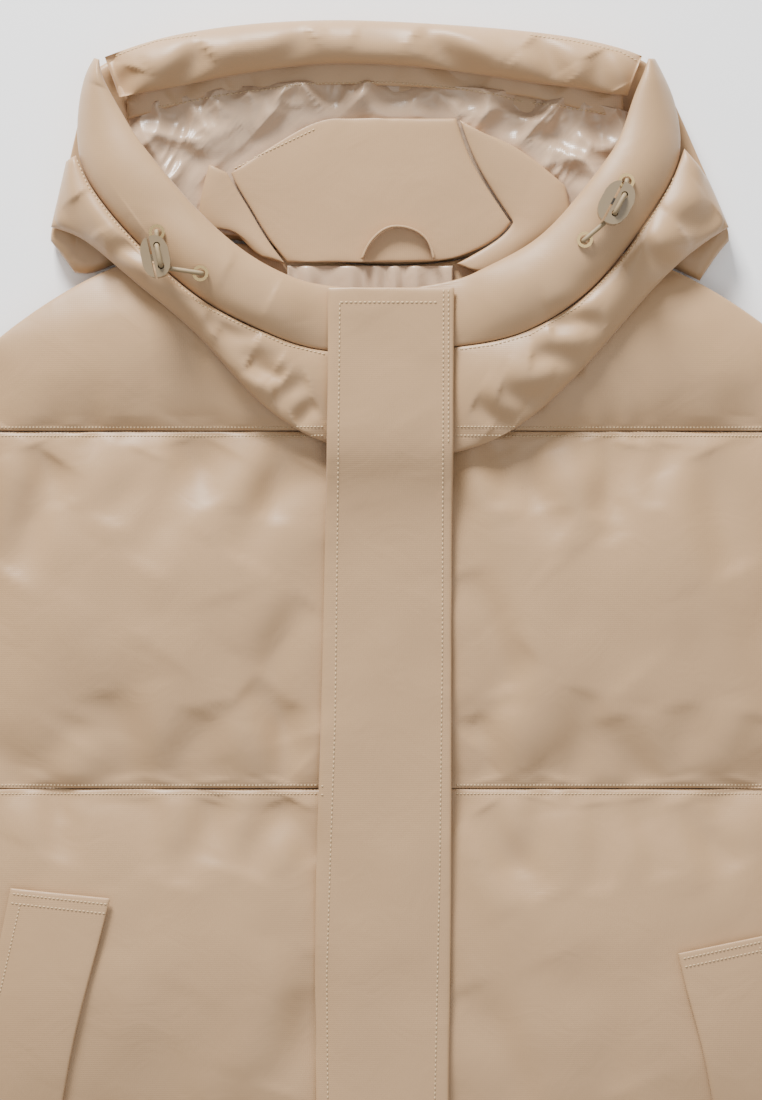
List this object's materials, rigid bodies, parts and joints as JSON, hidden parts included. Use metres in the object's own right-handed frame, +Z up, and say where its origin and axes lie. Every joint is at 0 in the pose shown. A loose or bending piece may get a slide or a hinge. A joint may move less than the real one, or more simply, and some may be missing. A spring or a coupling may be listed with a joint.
{
  "type": "long hooded puffer coat",
  "caption": "Long padded coat with a spread hood, storm placket, slanted pockets and corded hood rim, laid flat on its back.",
  "frame": {"origin": "centre of the footprint, on the surface that the coat lies on", "axes": "+X towards the wearer's left, +Y from hem to hood, +Z up from the surface, out of the coat's front"},
  "size_m": [1.016, 1.194, 0.0739],
  "materials": {
    "shell_cloth": "fine woven technical cloth with a low satin sheen",
    "satin_lining": "shiny thin crumpled satin",
    "eyelet_brass": "pale brass",
    "lock_plastic": "glossy moulded",
    "draw_cord": "braided elastic"
  },
  "bodies": {
    "coat": {"back_chest": "shell_cloth", "back_hem": "shell_cloth", "back_hip": "shell_cloth", "back_waist": "shell_cloth", "back_yoke": "shell_cloth", "collar_back": "shell_cloth", "collar_wing_left": "shell_cloth", "collar_wing_right": "shell_cloth", "draw_cord_left": "draw_cord", "draw_cord_right": "draw_cord", "eyelet_left_a": "eyelet_brass", "eyelet_left_b": "eyelet_brass", "eyelet_right_a": "eyelet_brass", "eyelet_right_b": "eyelet_brass", "front_left_chest": "shell_cloth", "front_left_hem": "shell_cloth", "front_left_hip": "shell_cloth", "front_left_waist": "shell_cloth", "front_left_yoke": "shell_cloth", "front_right_chest": "shell_cloth", "front_right_hem": "shell_cloth", "front_right_hip": "shell_cloth", "front_right_waist": "shell_cloth", "front_right_yoke": "shell_cloth", "hanger_loop": "shell_cloth", "hood_centre": "shell_cloth", "hood_facing": "shell_cloth", "hood_lining": "satin_lining", "hood_rim_left": "shell_cloth", "hood_rim_right": "shell_cloth", "hood_rim_top": "shell_cloth", "hood_side_left": "shell_cloth", "hood_side_right": "shell_cloth", "lock_barrel_left": "lock_plastic", "lock_barrel_right": "lock_plastic", "neck_lining": "satin_lining", "placket": "shell_cloth", "pocket_welt_left": "shell_cloth", "pocket_welt_right": "shell_cloth", "sleeve_left_top": "shell_cloth", "sleeve_left_under": "shell_cloth", "sleeve_right_top": "shell_cloth", "sleeve_right_under": "shell_cloth"},
    "plunger_right": {"lock_plunger_right": "lock_plastic"},
    "plunger_left": {"lock_plunger_left": "lock_plastic"}
  },
  "joints": [
    {"name": "press_right", "type": "slide", "parent": "coat", "child": "plunger_right", "axis": [0.9781, 0.2079, 0], "range_m": [0, 0.0009], "stiffness_N_per_m": 200},
    {"name": "press_left", "type": "slide", "parent": "coat", "child": "plunger_left", "axis": [0.8829, -0.4695, 0], "range_m": [0, 0.0009], "stiffness_N_per_m": 200}
  ]
}
